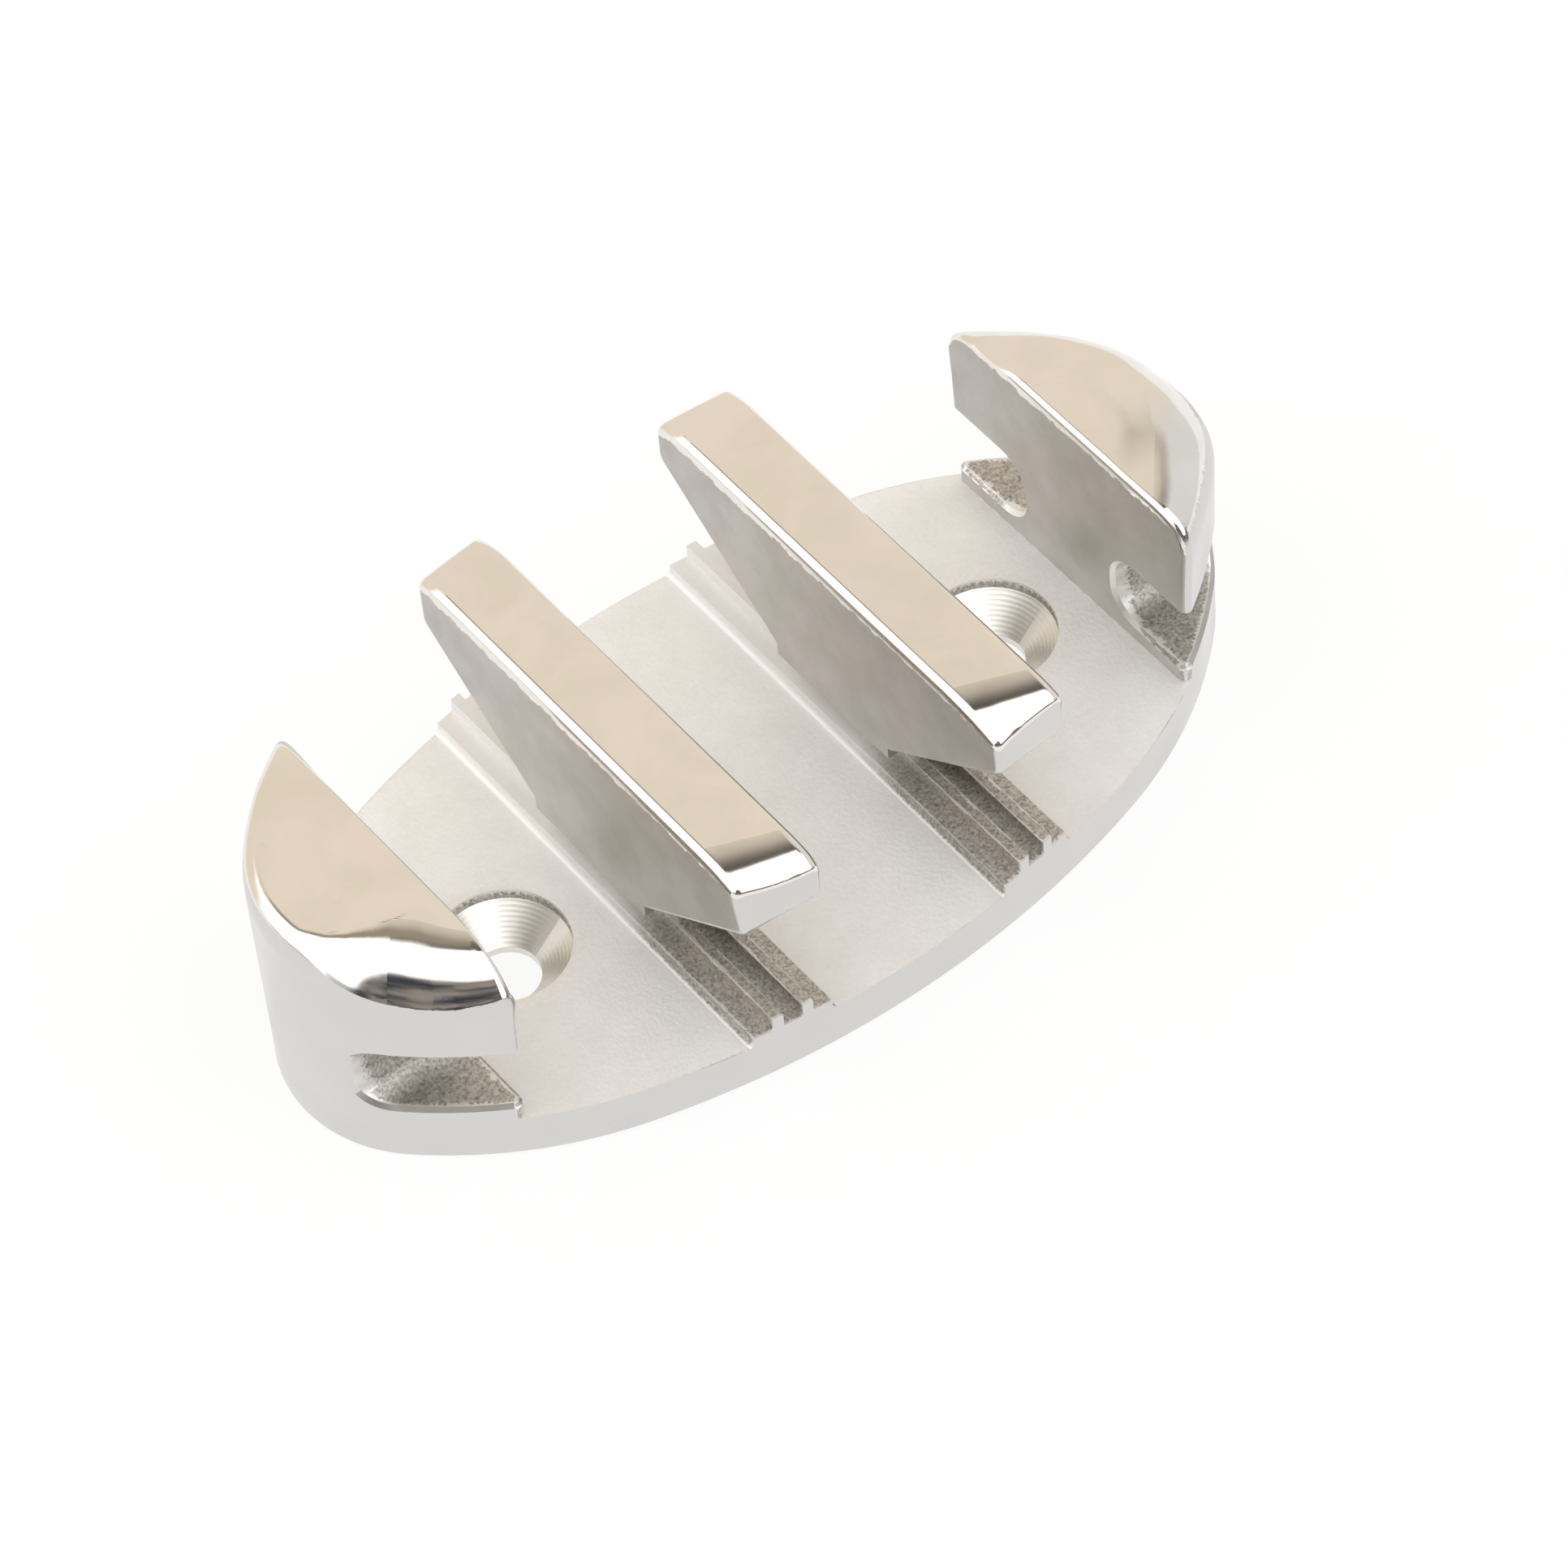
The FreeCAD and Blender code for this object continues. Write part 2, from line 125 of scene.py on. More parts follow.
def refine(points, faces, normals):
    """Halve every edge that is too long, until none is. A middle's normal is its ends' mean."""
    while True:
        edges, owner = list_edges(faces)
        ends = points[edges]
        middles = ends.mean(axis=1)
        long = np.linalg.norm(ends[:, 0] - ends[:, 1], axis=1) > longest_at(middles)
        if not long.any():
            return points, faces, normals
        number = np.full(len(edges), -1)
        number[long] = len(points) + np.arange(long.sum())
        points = np.concatenate((points, middles[long]))
        halves = number[owner]
        six = np.concatenate((faces, halves), axis=1)
        between = unit(normals + np.roll(normals, -1, axis=1))
        six_normals = np.concatenate((normals, between), axis=1)
        case = (halves >= 0) @ np.array([1, 2, 4])
        new_faces = []
        new_normals = []
        for key, triangles in SPLITS.items():
            rows = case == key
            for triangle in triangles:
                new_faces.append(six[rows][:, triangle])
                new_normals.append(six_normals[rows][:, triangle])
        faces = np.concatenate(new_faces)
        normals = np.concatenate(new_normals)


def find_worn(points, faces, least_angle):
    """1 at each point on an outward edge sharper than least_angle degrees, and 0 elsewhere. The
    surface is closed, so each edge has two triangles: the angle between them is the edge's, and
    it is outward where the second lies behind the first."""
    edges, owner = list_edges(faces)
    triangles = points[faces]
    flat = unit(np.cross(triangles[:, 1] - triangles[:, 0], triangles[:, 2] - triangles[:, 0]))
    order = np.argsort(owner.reshape(-1), kind="stable")
    sides = (order // 3).reshape(-1, 2)
    bend = (flat[sides[:, 0]] * flat[sides[:, 1]]).sum(axis=1)
    away = triangles[sides[:, 1]].mean(axis=1) - points[edges[:, 0]]
    outward = (away * flat[sides[:, 0]]).sum(axis=1) < 0
    worn = np.zeros(len(points))
    worn[edges[outward & (bend < math.cos(math.radians(least_angle)))].reshape(-1)] = 1
    return worn


points, faces, normals = refine(*read_surface(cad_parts["cleat_casting"].data))
# Points on sharp outward edges: worn smoother in the metal, and painted lighter there as a glint.
worn = find_worn(points, faces, 28)

# From the near rim to the near arms' roots the ribs are coarse and carry painted shade, and over
# the next 5 mm the painted shade fades and they turn as pale and even as the floor.
ARM_ROOT_Y = -9.5
even_rib = ((np.abs(points[:, 0]) < BAR_FAR_X + 0.9)
            * np.clip((points[:, 1] - ARM_ROOT_Y) / 5, 0, 1))

# Each triangle's place and facing say which finish it has.
centre = points[faces].mean(axis=1)
facing = unit(normals.mean(axis=1))
across, height = np.abs(centre[:, 0]), centre[:, 2]
from_screw = np.hypot(across - SCREW_X, centre[:, 1])
in_bar = (across > BAR_NEAR_X - 0.7) & (across < BAR_FAR_X + 0.7) & (height > BASE_TOP + 0.05)
in_horn = across > HORN_FACE_X - 0.02
upright = np.abs(facing[:, 2]) < 0.35
outward = (facing[:, 0] * centre[:, 0] / HALF_LENGTH ** 2
           + facing[:, 1] * centre[:, 1] / HALF_WIDTH ** 2) > 0.008
by_slot = in_horn & (height > BASE_TOP + 0.02) & (height < SLOT_TOP + 0.2)
outward &= ~(by_slot & (np.abs(facing[:, 0]) < 0.3))
inner_slot = by_slot & ~outward

# The six finishes stand in the order in which their materials follow below.
CAST, COARSE, BLASTED, SATIN, BUFFED, TURNED = range(6)
finish = np.full(len(faces), CAST)
finish[in_bar | (in_horn & (height > BASE_TOP + 0.02))] = BLASTED
from_flank = np.abs(np.abs(across - BAR_MIDDLE_X) - BAR_HALF_WIDTH)
flank = (np.abs(facing[:, 0]) > 0.9) & (from_flank < 0.05)
rib = in_bar & (height < RIBS_BELOW) & ~(flank & (height > BASE_TOP + 1.2))
# The ribs and the slots' insides take the coarse finish, whose darker colour is painted shade.
finish[rib] = COARSE
finish[inner_slot & (across > HORN_FACE_X + 0.05)] = COARSE
finish[outward & upright] = SATIN
finish[in_bar & (np.abs(facing[:, 1]) > 0.75) & (height > END_FACES_FROM)] = SATIN
finish[(height > STRETCH_FROM) & (facing[:, 2] > 0.1)] = BUFFED
in_hole = (from_screw < RECESS_RADIUS + 0.02) & (height < BASE_TOP - 0.01) & (height > 0.01)
finish[in_hole] = TURNED
# The recess walls round the screws' heads take the coarse finish's painted shade.
finish[in_hole & (np.abs(facing[:, 2]) < 0.3) & (height > BASE_TOP - RECESS_WALL)] = COARSE

# The buffing is done by hand, so no two rounds are alike. Each horn's shoulder is a 4.4 mm round in
# the solid, and here it gets its own radius, and the left one its own drop, at each place along y.
# The right horn's top gets a slope toward its wall.
CHAMFER = 0.5
SHOULDER = 4.4
SHOULDER_DEPTH = 9.5
KNEE_FACING = 0.54
TOP = 28.0
LEFT_PLACES = (-19, -17, -15.7, -13.8, -11.6, -9.5, -7.5, -5.5, -3.5, -1.5, 3, 8, 14, 19)
LEFT_RADII = (1.8, 2.2, 2.9, 4.2, 5.4, 6.3, 6.3, 4.8, 2.9, 1.8, 1.6, 1.9, 1.4, 1.4)
LEFT_DROPS = (2.3, 3.0, 4.3, 5.0, 4.8, 4.1, 3.2, 2.1, 1.3, 0.8, 0.6, 0.8, 0.7, 0.7)
RIGHT_PLACES = (-19, -15, -10, -5, 0, 4, 8, 13, 19)
RIGHT_RADII = (2.6, 3.2, 5.2, 5.6, 4.5, 3.2, 2.6, 2.6, 3.2)
SLOPE_PLACES = (-9, -3, 2, 8, 12, 17)
SLOPES = (0, 0.18, 0.34, 0.36, 0.26, 0.12)
SLOPE_WIDTH = 9.0
HORN_FLARE = 0.045
SLIDE_FROM = 22.0


def nearest_on_rim(places, points):
    """The nearest point of the base's outline to each place, seen from above."""
    rim = points[np.abs(points[:, 2] - CHAMFER) < 0.02][:, :2]
    rim = rim[np.hypot(rim[:, 0] / HALF_LENGTH, rim[:, 1] / HALF_WIDTH) > 0.95]
    rim = rim[np.argsort(np.arctan2(rim[:, 1], rim[:, 0]))]
    step = np.roll(rim, -1, axis=0) - rim
    reach = np.maximum((step ** 2).sum(axis=1), 1e-9)
    offset = places[:, None, :2] - rim[None]
    along = np.clip((offset * step).sum(axis=2) / reach, 0, 1)
    close = rim[None] + along[..., None] * step
    best = ((places[:, None, :2] - close) ** 2).sum(axis=2).argmin(axis=1)
    return close[np.arange(len(places)), best]


def reshape_shoulders(points, knee):
    """Give the round between each horn's top and wall the width and drop wanted there. In the plane
    across the wall, with d in from the wall, the round scales in d and in height about the top, and
    the wall below the knee and the top beyond the round stretch to meet it, so facings stay as they
    were. On the left horn's near side the part below the knee goes flat against the wall. The right
    horn's top also slopes down toward its wall, and the slope there is what comes back."""
    rows = (np.abs(points[:, 0]) > HORN_FACE_X - 0.05) & (points[:, 2] > STRETCH_FROM)
    at = points[rows]
    wall = nearest_on_rim(at, points)
    inward = at[:, :2] - wall
    depth = np.linalg.norm(inward, axis=1)
    on_left = at[:, 0] < 0
    radius = np.where(on_left, np.interp(at[:, 1], LEFT_PLACES, LEFT_RADII),
                      np.interp(at[:, 1], RIGHT_PLACES, RIGHT_RADII))
    ratio = radius / SHOULDER
    knee_drop = TOP - knee
    drop = np.where(on_left, np.interp(at[:, 1], LEFT_PLACES, LEFT_DROPS), knee_drop * ratio)
    knee_depth = SHOULDER - math.sqrt(SHOULDER ** 2 - (SHOULDER - knee_drop) ** 2)
    flatten = on_left * np.interp(at[:, 1], (-6, -3), (1, 0))
    pressed = np.maximum(depth - knee_depth, 0) * radius / (SHOULDER - knee_depth)
    within = depth * ratio * (1 - flatten) + pressed * flatten
    beyond = radius + (depth - SHOULDER) * (SHOULDER_DEPTH - radius) / (SHOULDER_DEPTH - SHOULDER)
    sink = np.clip((at[:, 2] - STRETCH_FROM) / (knee - STRETCH_FROM), 0, 1)
    new_depth = depth + (np.where(depth < SHOULDER, within, beyond) - depth) * sink
    new_depth = np.where(depth > SHOULDER_DEPTH, depth, new_depth)
    above = TOP - (TOP - at[:, 2]) * drop / knee_drop
    stretch = (TOP - drop - STRETCH_FROM) / (knee - STRETCH_FROM)
    below = STRETCH_FROM + (at[:, 2] - STRETCH_FROM) * stretch
    flat = np.clip((depth - SHOULDER) / 2, 0, 1)
    height = np.where(at[:, 2] > knee, above, below)
    moved = inward * (new_depth / np.maximum(depth, 1e-6) - 1)[:, None]
    moved[depth < 1e-6] = 0
    moved[:, 0] *= np.clip((np.abs(at[:, 0]) - HORN_FACE_X) / 5, 0, 1)
    at[:, :2] += moved
    at[:, 2] += (height - at[:, 2]) * (1 - flat)
    slope = np.where(on_left, 0, np.interp(at[:, 1], SLOPE_PLACES, SLOPES))
    run = SLOPE_WIDTH - depth
    at[:, 2] -= slope * np.where(run > 2, run - 1, np.maximum(run, 0) ** 2 / 4) * sink
    points[rows] = at
    lean = slope * np.clip(run / 2, 0, 1)
    tilt = np.zeros((len(points), 3))
    tilt[rows, :2] = -inward / np.maximum(depth, 0.2)[:, None] * lean[:, None]
    return tilt


def slant_bar_ends(points):
    """Slide the round at each bar's near end along the bar, away from the end on its left side and
    toward it on its right side, where the buffing wheel came at a slant."""
    x, y, z = points.T
    left = np.where(x < 0, -BAR_FAR_X, BAR_NEAR_X)
    share = np.clip((x - left) / (BAR_FAR_X - BAR_NEAR_X), 0, 1)
    rows = (np.abs(x) > BAR_NEAR_X - 0.1) & (np.abs(x) < BAR_FAR_X + 0.1) & (z > SLIDE_FROM)
    from_end = y - y[rows].min()
    slide_left = np.interp(from_end, (0, 2.2, 4, 6, 18), (0, 1.5, 3.0, 3.4, 0))
    slide_right = np.interp(from_end, (0, 2.2, 4, 6), (0, -1.0, -0.5, 0))
    lift = np.clip((z - SLIDE_FROM) / 4, 0, 1)
    points[:, 1] += np.where(rows, (slide_left * (1 - share) + slide_right * share) * lift, 0)


# Up to the knee the shoulder is polished with the wall, and above it buffed with the top. On the
# left horn's near side the polished part is flat and upright.
below_knee = outward & in_horn & (height > STRETCH_FROM) & (facing[:, 2] < KNEE_FACING)
knee = points[faces[below_knee], 2].max()
satin_share = np.repeat(below_knee * 1.0, 3)
flat_wall = below_knee & (centre[:, 0] < 0) & (centre[:, 1] < -4)
normals[flat_wall, :, 2] = 0

# The countersinks' cones catch the light as if they were less steep, because the turned rings
# have crests that face up.
cone = (finish == TURNED) & (facing[:, 2] > 0.5) & (facing[:, 2] < 0.9)
normals[cone] *= (0.71, 0.71, 1)
normals = unit(normals)

tilt = reshape_shoulders(points, knee)[faces]
normals = unit(normals + tilt * normals[..., 2:])
slant_bar_ends(points)
flared = np.abs(points[:, 0]) > HORN_FACE_X - 0.05
rise = np.clip((points[flared, 2] - BASE_TOP) / (TOP - BASE_TOP), 0, 1)
points[flared, 1] *= 1 + HORN_FLARE * rise

casting = bpy.data.meshes.new("cleat_surface")
casting.from_pydata(points * MM, [], faces)
casting.normals_split_custom_set(normals.reshape(-1, 3))
casting.polygons.foreach_set("material_index", finish.astype(np.int32))
casting.attributes.new("satin_share", "FLOAT", "CORNER").data.foreach_set("value", satin_share)
casting.attributes.new("worn_edge", "FLOAT", "POINT").data.foreach_set("value", worn)
casting.attributes.new("even_rib", "FLOAT", "POINT").data.foreach_set("value", even_rib)
casting.update()
cleat = bpy.data.objects.new("cleat", casting)
scene.collection.objects.link(cleat)
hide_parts("cleat_casting")
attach(cleat, "root")


def linear(hex_colour):
    """An sRGB colour such as "C8B79F" as linear red, green, blue and alpha."""
    parts = [int(hex_colour[i:i + 2], 16) / 255 for i in (0, 2, 4)]
    return [c / 12.92 if c <= 0.04045 else ((c + 0.055) / 1.055) ** 2.4 for c in parts] + [1]


def add_node(owner, kind, sockets=None, **settings):
    """Add a node to a material or world. Settings are its own; sockets are values or outputs."""
    node = owner.node_tree.nodes.new(kind)
    for name, value in settings.items():
        setattr(node, name, value)
    for name, value in (sockets or {}).items():
        if isinstance(value, bpy.types.NodeSocket):
            owner.node_tree.links.new(value, node.inputs[name])
        else:
            node.inputs[name].default_value = value
    return node


def new_metal(name):
    """A metal material on the casting, with its shader and the casting's own coordinates."""
    material = bpy.data.materials.new(name)
    material.use_nodes = True
    casting.materials.append(material)
    shader = material.node_tree.nodes["Principled BSDF"]
    shader.inputs["Metallic"].default_value = 1
    return material, shader, add_node(material, "ShaderNodeTexCoord").outputs["Object"]


# The floor of the base is stainless steel as cast and pickled: pale, with a fine even grain of
# 0.4 mm from the mould's face coat and faint blotches 6 mm wide. Along its outer edge, where the
# rim was polished, it is worn smoother, and a lighter colour there is a painted glint.
cast_steel, shader, place = new_metal("pickled_cast_stainless")
grain = add_node(cast_steel, "ShaderNodeTexNoise",
                 {"Vector": place, "Scale": 1 / (0.40 * MM), "Detail": 3, "Roughness": 0.6})
blotch = add_node(cast_steel, "ShaderNodeTexNoise",
                  {"Vector": place, "Scale": 1 / (6 * MM), "Detail": 4, "Roughness": 0.65})
stain = add_node(cast_steel, "ShaderNodeMapRange",
                 {"Value": blotch.outputs[0], "From Min": 0.3, "From Max": 0.7,
                  "To Min": 0.1, "To Max": 0.6})
speckle = add_node(cast_steel, "ShaderNodeMath", {0: grain.outputs[0], 1: 0.7, 2: stain.outputs[0]},
                   operation="MULTIPLY_ADD")
pale = add_node(cast_steel, "ShaderNodeMix", {0: speckle.outputs[0], 6: linear("ECEAE8"),
                7: linear("F8F7F6")}, data_type="RGBA")
# The lighter colour on sharp outward edges is a painted glint; the lower roughness there is real
# wear.
edge = add_node(cast_steel, "ShaderNodeAttribute", attribute_name="worn_edge")
ragged = add_node(cast_steel, "ShaderNodeMath", {0: edge.outputs["Fac"], 1: grain.outputs[0]},
                  operation="MULTIPLY")
bright = add_node(cast_steel, "ShaderNodeMapRange",
                  {"Value": ragged.outputs[0], "From Min": 0.34, "From Max": 0.46})
colour = add_node(cast_steel, "ShaderNodeMix", {0: bright.outputs[0], 6: pale.outputs[2],
                  7: linear("FAF9F7")}, data_type="RGBA")
rough = add_node(cast_steel, "ShaderNodeMapRange",
                 {"Value": bright.outputs[0], "To Min": 0.62, "To Max": 0.3})
relief = add_node(cast_steel, "ShaderNodeBump",
                  {"Height": grain.outputs[0], "Strength": 0.8, "Distance": 0.05 * MM})
cast_steel.node_tree.links.new(colour.outputs[2], shader.inputs["Base Color"])
cast_steel.node_tree.links.new(rough.outputs[0], shader.inputs["Roughness"])
cast_steel.node_tree.links.new(relief.outputs[0], shader.inputs["Normal"])

# In the slots, among the ribs and on the upright walls round the screws' heads no tool or shot
# reaches, so the steel keeps the mould's coarse skin, with grains of 0.32 mm and dark pits. Its
# darker colour is painted shade for these hollows, and the bright edges are a painted glint.
# Where the ribs turn even, the painted shade fades and they are pale and rougher.
coarse_steel, shader, place = new_metal("coarse_cast_stainless_painted_shade")
grain = add_node(coarse_steel, "ShaderNodeTexNoise",
                 {"Vector": place, "Scale": 1 / (0.32 * MM), "Detail": 3, "Roughness": 0.65})
pits = add_node(coarse_steel, "ShaderNodeMapRange",
                {"Value": grain.outputs[0], "From Min": 0.3, "From Max": 0.6})
# The darker colours here are painted shade for the hollows; the grain between them is the cast
# skin's own.
colour = add_node(coarse_steel, "ShaderNodeMix", {0: pits.outputs[0], 6: linear("8E8881"),
                  7: linear("D6D1CB")}, data_type="RGBA")
edge = add_node(coarse_steel, "ShaderNodeAttribute", attribute_name="worn_edge")
ragged = add_node(coarse_steel, "ShaderNodeMath", {0: edge.outputs["Fac"], 1: grain.outputs[0]},
                  operation="MULTIPLY")
# Sharp outward edges, such as the ribs' crests and the slots' rims, are painted lighter as a glint.
bright = add_node(coarse_steel, "ShaderNodeMapRange",
                  {"Value": ragged.outputs[0], "From Min": 0.16, "From Max": 0.3})
crest = add_node(coarse_steel, "ShaderNodeMix", {0: bright.outputs[0], 6: colour.outputs[2],
                 7: linear("F4F2EF")}, data_type="RGBA")
# Away from the arms the ribs' painted shade fades to the floor's pale colour.
even = add_node(coarse_steel, "ShaderNodeAttribute", attribute_name="even_rib")
crest = add_node(coarse_steel, "ShaderNodeMix", {0: even.outputs["Fac"], 6: crest.outputs[2],
                 7: linear("F2F0EE")}, data_type="RGBA")
rough = add_node(coarse_steel, "ShaderNodeMapRange",
                 {"Value": even.outputs["Fac"], "To Min": 0.45, "To Max": 0.6})
relief = add_node(coarse_steel, "ShaderNodeBump",
                  {"Height": grain.outputs[0], "Strength": 0.7, "Distance": 0.05 * MM})
coarse_steel.node_tree.links.new(rough.outputs[0], shader.inputs["Roughness"])
coarse_steel.node_tree.links.new(crest.outputs[2], shader.inputs["Base Color"])
coarse_steel.node_tree.links.new(relief.outputs[0], shader.inputs["Normal"])

# The bars' sides and the horns' inner faces are shot-blasted stainless steel: an even matt grey
# with slow changes of tone, faint grinding lines and a ragged bright strip along the tops, where
# the wheel ran over the edge. The grain is drawn at 0.28 mm, coarser than real, so that it shows.
blasted_steel, shader, place = new_metal("shot_blasted_stainless")
grain = add_node(blasted_steel, "ShaderNodeTexNoise",
                 {"Vector": place, "Scale": 1 / (0.28 * MM), "Detail": 3, "Roughness": 0.6})
tone = add_node(blasted_steel, "ShaderNodeTexNoise",
                {"Vector": place, "Scale": 1 / (5 * MM), "Detail": 3, "Roughness": 0.6})
shade = add_node(blasted_steel, "ShaderNodeMapRange",
                 {"Value": tone.outputs[0], "From Min": 0.35, "From Max": 0.65})
colour = add_node(blasted_steel, "ShaderNodeMix", {0: shade.outputs[0], 6: linear("BBB6B0"),
                  7: linear("C6C1BC")}, data_type="RGBA")
lines = add_node(blasted_steel, "ShaderNodeMapping",
                 {"Vector": place, "Rotation": (math.radians(35), 0, 0),
                  "Scale": (1 / (4 * MM), 1 / (7 * MM), 1 / (0.35 * MM))})
scratch = add_node(blasted_steel, "ShaderNodeTexNoise",
                   {"Vector": lines.outputs[0], "Scale": 1, "Detail": 2})
relief = add_node(blasted_steel, "ShaderNodeBump",
                  {"Height": grain.outputs[0], "Strength": 0.5, "Distance": 0.02 * MM})
marks = add_node(blasted_steel, "ShaderNodeBump",
                 {"Height": scratch.outputs[0], "Strength": 0.4, "Distance": 0.02 * MM,
                  "Normal": relief.outputs[0]})
along = add_node(blasted_steel, "ShaderNodeSeparateXYZ", {0: place})
wander = add_node(blasted_steel, "ShaderNodeTexNoise",
                  {"Vector": place, "Scale": 1 / (1.2 * MM), "Detail": 2})
ragged = add_node(blasted_steel, "ShaderNodeMath",
                  {0: wander.outputs[0], 1: 1.6 * MM, 2: along.outputs["Z"]},
                  operation="MULTIPLY_ADD")
buffed = add_node(blasted_steel, "ShaderNodeMapRange",
                  {"Value": ragged.outputs[0], "From Min": 27.5 * MM, "From Max": 27.7 * MM})
colour = add_node(blasted_steel, "ShaderNodeMix", {0: buffed.outputs[0], 6: colour.outputs[2],
                  7: linear("ECE8E3")}, data_type="RGBA")
rough = add_node(blasted_steel, "ShaderNodeMapRange",
                 {"Value": buffed.outputs[0], "To Min": 0.42, "To Max": 0.14})
blasted_steel.node_tree.links.new(rough.outputs[0], shader.inputs["Roughness"])
blasted_steel.node_tree.links.new(colour.outputs[2], shader.inputs["Base Color"])
blasted_steel.node_tree.links.new(marks.outputs[0], shader.inputs["Normal"])

# The rim, the horns' outer walls and the bars' end faces are belt-polished stainless steel: pale
# and satin, so what stands round them shows as broad soft bands, a little hazier in patches.
satin_steel, shader, place = new_metal("belt_polished_stainless")
haze = add_node(satin_steel, "ShaderNodeTexNoise",
                {"Vector": place, "Scale": 1 / (6 * MM), "Detail": 0})
rough = add_node(satin_steel, "ShaderNodeMapRange",
                 {"Value": haze.outputs[0], "From Min": 0.3, "From Max": 0.7,
                  "To Min": 0.2, "To Max": 0.3})
shader.inputs["Base Color"].default_value = linear("D7D5D3")
satin_steel.node_tree.links.new(rough.outputs[0], shader.inputs["Roughness"])

# The tops of the bars and horns are stainless steel buffed on a wheel to a mirror: it shows the
# room sharply, with the slow waviness of hand work, a thin film of smudges, and hairlines along
# the bars. The hairlines are drawn 0.2 mm apart, coarser than real, so that they show.
buffed_steel, shader, place = new_metal("mirror_buffed_stainless")
wave = add_node(buffed_steel, "ShaderNodeTexNoise",
                {"Vector": place, "Scale": 1 / (7 * MM), "Detail": 2, "Roughness": 0.5})
hairs = add_node(buffed_steel, "ShaderNodeMapping",
                 {"Vector": place, "Rotation": (0, 0, math.radians(12)),
                  "Scale": (1 / (0.2 * MM), 1 / (5 * MM), 1 / (2 * MM))})
hair = add_node(buffed_steel, "ShaderNodeTexNoise",
                {"Vector": hairs.outputs[0], "Scale": 1, "Detail": 2, "Roughness": 0.6})
rough = add_node(buffed_steel, "ShaderNodeMapRange",
                 {"Value": wave.outputs[0], "From Min": 0.3, "From Max": 0.7,
                  "To Min": 0.05, "To Max": 0.11})
toward_wall = add_node(buffed_steel, "ShaderNodeAttribute", attribute_name="satin_share")
rough = add_node(buffed_steel, "ShaderNodeMix",
                 {0: toward_wall.outputs["Fac"], 2: rough.outputs[0], 3: 0.26})
smudge = add_node(buffed_steel, "ShaderNodeTexNoise",
                  {"Vector": place, "Scale": 1 / (9 * MM), "Detail": 4, "Roughness": 0.6,
                   "Distortion": 0.8})
film = add_node(buffed_steel, "ShaderNodeMapRange",
                {"Value": smudge.outputs[0], "From Min": 0.35, "From Max": 0.62})
tone = add_node(buffed_steel, "ShaderNodeMix", {0: film.outputs[0], 6: linear("E9E5DF"),
                7: linear("EFEBE6")}, data_type="RGBA")
colour = add_node(buffed_steel, "ShaderNodeMix", {0: toward_wall.outputs["Fac"], 6: tone.outputs[2],
                  7: linear("D7D5D3")}, data_type="RGBA")
slow = add_node(buffed_steel, "ShaderNodeBump",
                {"Height": wave.outputs[0], "Strength": 0.8, "Distance": 0.06 * MM})
fine = add_node(buffed_steel, "ShaderNodeBump",
                {"Height": hair.outputs[0], "Strength": 0.5, "Distance": 0.002 * MM,
                 "Normal": slow.outputs[0]})
buffed_steel.node_tree.links.new(colour.outputs[2], shader.inputs["Base Color"])
buffed_steel.node_tree.links.new(rough.outputs[0], shader.inputs["Roughness"])
buffed_steel.node_tree.links.new(fine.outputs[0], shader.inputs["Normal"])

# The screw holes are stainless steel turned with a countersink, which leaves fine rings about
# 0.35 mm apart round each hole and a bright surface between them. A wave texture of scale s has a
# ring every 0.314 / s.
turned_steel, shader, place = new_metal("turned_stainless")
folded = add_node(turned_steel, "ShaderNodeVectorMath", {0: place}, operation="ABSOLUTE")
centred = add_node(turned_steel, "ShaderNodeMapping",
                   {"Vector": folded.outputs[0], "Location": (-SCREW_X * MM, 0, 0)})
rings = add_node(turned_steel, "ShaderNodeTexWave",
                 {"Vector": centred.outputs[0], "Scale": 0.314 / (0.35 * MM), "Distortion": 0.6,
                  "Detail": 2}, wave_type="RINGS", rings_direction="Z")
relief = add_node(turned_steel, "ShaderNodeBump",
                  {"Height": rings.outputs["Fac"], "Strength": 0.6, "Distance": 0.009 * MM})
shader.inputs["Base Color"].default_value = linear("E2DFD8")
shader.inputs["Roughness"].default_value = 0.3
turned_steel.node_tree.links.new(relief.outputs[0], shader.inputs["Normal"])

# The cleat lies on a broad sheet of white paper. To the camera and in the metal the paper is
# white all over, but for the soft shadow under the cleat.
FLOOR_SIDE = 4
GLOW_SHARE = 0.87  # the rest of what is seen is the lit paper, which holds the shadow
bpy.ops.mesh.primitive_plane_add(size=FLOOR_SIDE)
floor = bpy.context.object
floor.name = "studio_floor"
paper = bpy.data.materials.new("white_paper")
paper.use_nodes = True
floor.data.materials.append(paper)
matt = paper.node_tree.nodes["Principled BSDF"]
matt.inputs["Base Color"].default_value = linear("F6F5F3")
matt.inputs["Roughness"].default_value = 0.9
ray = add_node(paper, "ShaderNodeLightPath")
seen = add_node(paper, "ShaderNodeMath",
                {0: ray.outputs["Is Camera Ray"], 1: ray.outputs["Is Glossy Ray"]},
                operation="MAXIMUM")
seen = add_node(paper, "ShaderNodeMath",
                {0: seen.outputs[0], 1: ray.outputs["Is Transmission Ray"]}, operation="MAXIMUM")
share = add_node(paper, "ShaderNodeMath", {0: seen.outputs[0], 1: GLOW_SHARE},
                 operation="MULTIPLY")
glow = add_node(paper, "ShaderNodeEmission", {"Color": (1, 1, 1, 1), "Strength": 1})
both = add_node(paper, "ShaderNodeMixShader",
                {0: share.outputs[0], 1: matt.outputs[0], 2: glow.outputs[0]})
surface = paper.node_tree.nodes["Material Output"].inputs["Surface"]
paper.node_tree.links.new(both.outputs[0], surface)

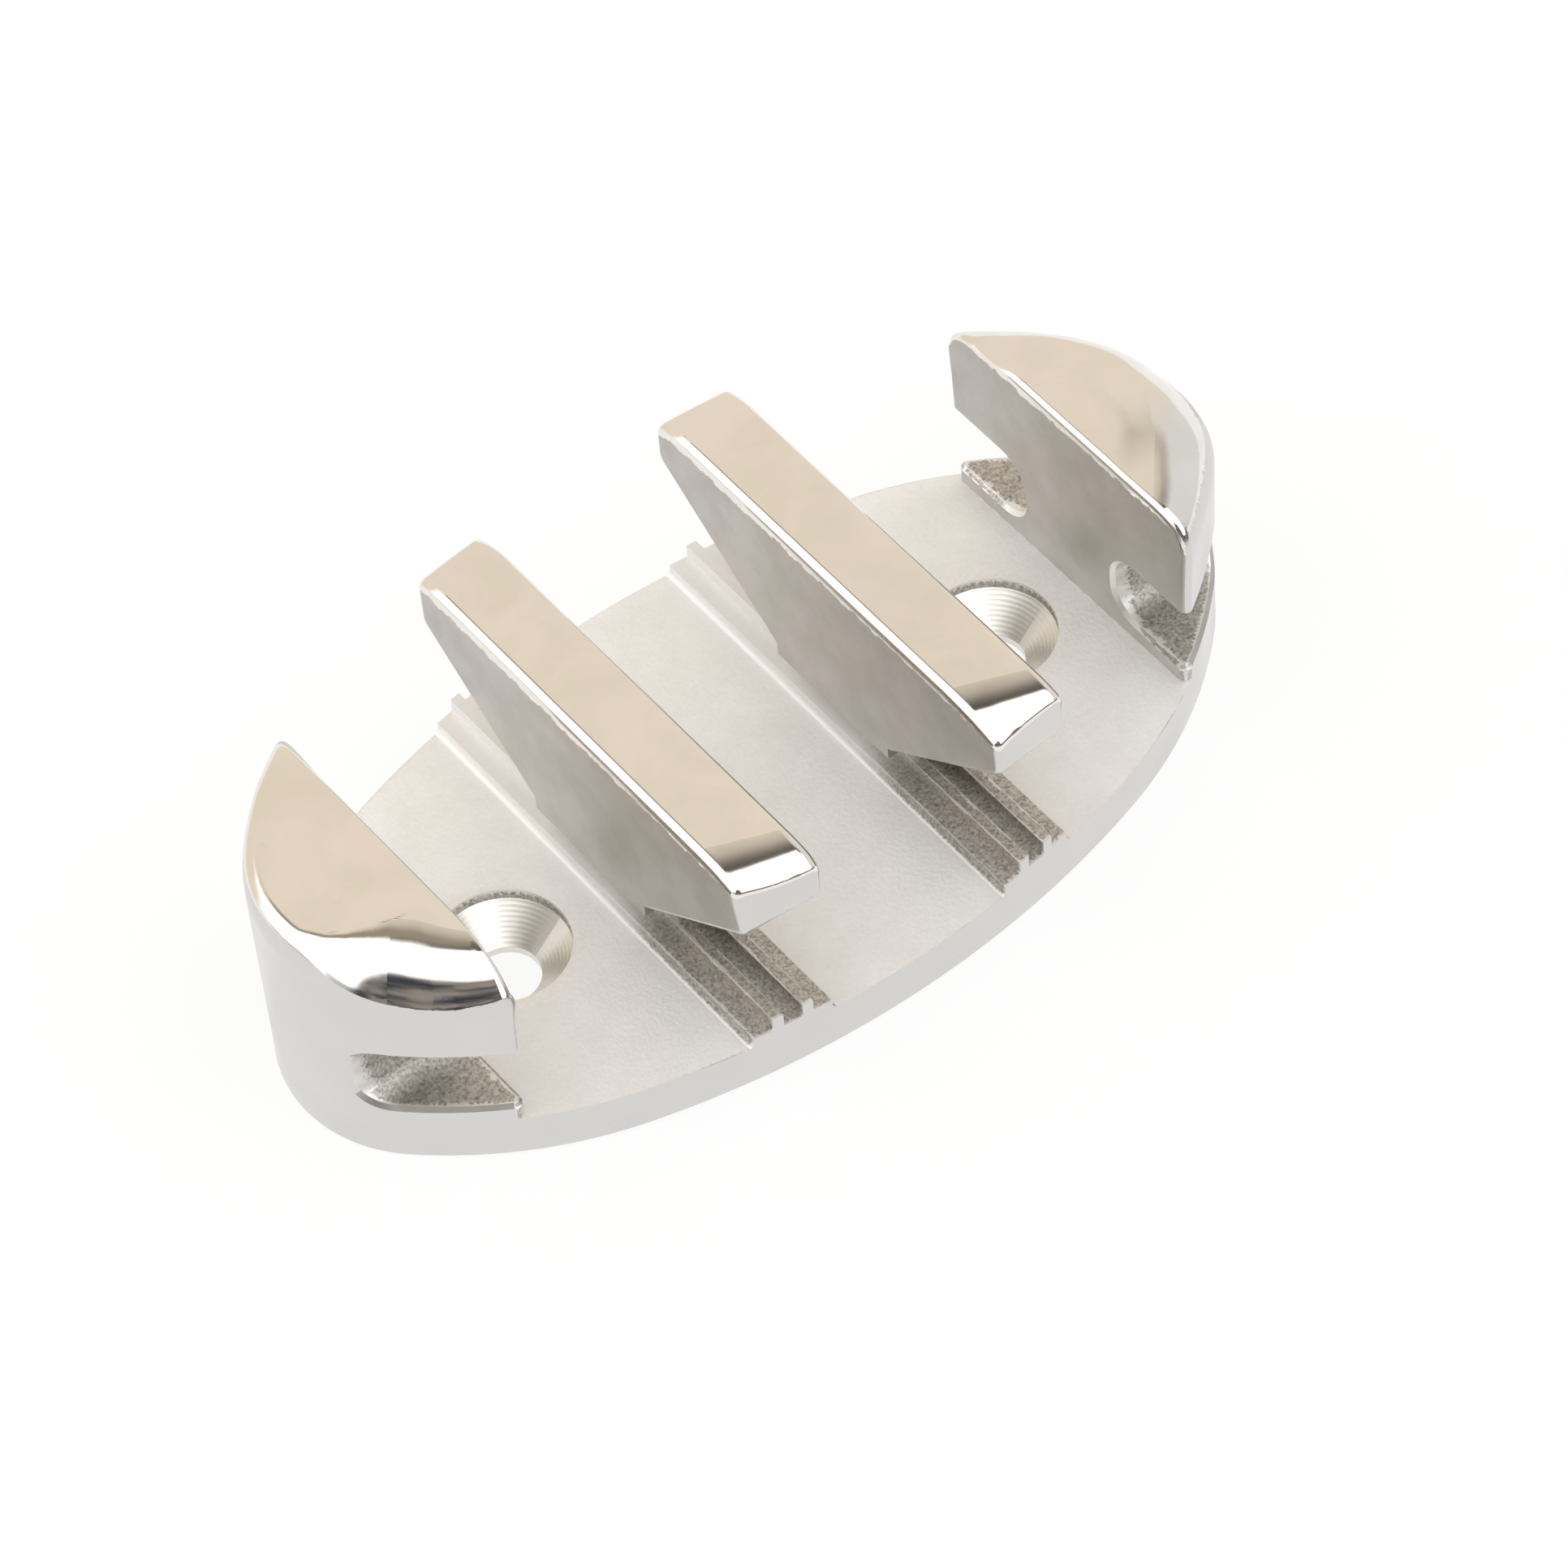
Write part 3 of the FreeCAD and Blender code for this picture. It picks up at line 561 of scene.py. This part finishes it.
# The camera stands in front of the cleat and to its left, well above it, with a long lens.
AZIMUTH = math.radians(-33.80)
ELEVATION = math.radians(51.20)
ROLL = math.radians(5.314)
TARGET = Vector((2.585, -1.919, 5.4)) * MM
DISTANCE = 720 * MM
back = Vector((math.sin(AZIMUTH) * math.cos(ELEVATION),
               -math.cos(AZIMUTH) * math.cos(ELEVATION),
               math.sin(ELEVATION)))
right = Vector((math.cos(AZIMUTH), math.sin(AZIMUTH), 0))
down = (-back).cross(right)
level = right * math.cos(ROLL) + down * math.sin(ROLL)
upward = right * math.sin(ROLL) - down * math.cos(ROLL)
lens = bpy.data.cameras.new("camera")
lens.sensor_width = 36
lens.lens = 176.0
lens.clip_end = 10
camera = bpy.data.objects.new("camera", lens)
scene.collection.objects.link(camera)
turn = Matrix((level, upward, back)).transposed().to_4x4()
camera.matrix_world = Matrix.Translation(TARGET + back * DISTANCE) @ turn
scene.camera = camera

# The studio round the cleat: a warm wall and ceiling behind, a white softbox overhead and another
# at the back on the left, a dark gap between them, and the darker room on the camera's side. Each
# is a patch of directions with soft ends, where x is right, y is away and z is up.
X, Y, Z = 0, 1, 2
studio = bpy.data.worlds.new("studio")
scene.world = studio
studio.use_nodes = True
toward = add_node(studio, "ShaderNodeTexCoord").outputs["Generated"]
part = add_node(studio, "ShaderNodeSeparateXYZ", {0: toward}).outputs
blots = add_node(studio, "ShaderNodeTexNoise", {"Vector": toward, "Scale": 6, "Detail": 2})
blot = add_node(studio, "ShaderNodeMapRange",
                {"Value": blots.outputs[0], "From Min": 0.4, "From Max": 0.6})
room = add_node(studio, "ShaderNodeMix", {0: blot.outputs[0], 6: linear("3E434C"),
                7: linear("9A938C")}, data_type="RGBA").outputs[2]

# Each patch has its colour, and for each axis that limits it, where it is absent and where full.
patches = (
    ((0.8, 0.8, 0.8, 1), ((X, 0.45, 0.65),)),
    (linear("57524B"), ((Y, 0.08, 0.14), (X, 0.72, 0.50))),
    (linear("F2E7D6"), ((Y, 0.12, 0.56),)),
    ((1.9, 1.9, 1.9, 1), ((Y, 0.13, 0.09), (Z, 0.28, 0.38), (X, 0.66, 0.5))),
    (linear("A39886"), ((X, 0.18, 0.08), (Y, 0.12, 0.3), (Y, 0.64, 0.56))),
    ((1.5, 1.5, 1.5, 1), ((X, 0.0, -0.1), (Y, -0.1, 0.1), (Y, 0.8, 0.66), (Z, 0.02, 0.15))),
    (room, ((Y, -0.28, -0.42), (Z, 0.44, 0.36))),
    (room, ((Y, -0.2, -0.3), (X, -0.2, -0.35), (Z, 0.86, 0.78))),
    (linear("F6F5F3"), ((Z, 0.06, -0.02),)),
)
view = (0.6, 0.6, 0.6, 1)
for colour, limits in patches:
    mask = 1
    for axis, absent, full in limits:
        band = add_node(studio, "ShaderNodeMapRange",
                        {"Value": part[axis], "From Min": absent, "From Max": full},
                        interpolation_type="SMOOTHSTEP")
        mask = add_node(studio, "ShaderNodeMath", {0: mask, 1: band.outputs[0]},
                        operation="MULTIPLY").outputs[0]
    view = add_node(studio, "ShaderNodeMix", {0: mask, 6: view, 7: colour},
                    data_type="RGBA").outputs[2]
around = studio.node_tree.nodes["Background"]
studio.node_tree.links.new(view, around.inputs["Color"])
plain = add_node(studio, "ShaderNodeBackground", {"Color": (1, 1, 1, 1), "Strength": 1})
ray = add_node(studio, "ShaderNodeLightPath")
shown = add_node(studio, "ShaderNodeMixShader",
                 {0: ray.outputs["Is Camera Ray"], 1: around.outputs[0], 2: plain.outputs[0]})
surface = studio.node_tree.nodes["World Output"].inputs["Surface"]
studio.node_tree.links.new(shown.outputs[0], surface)

scene.view_settings.view_transform = "Standard"
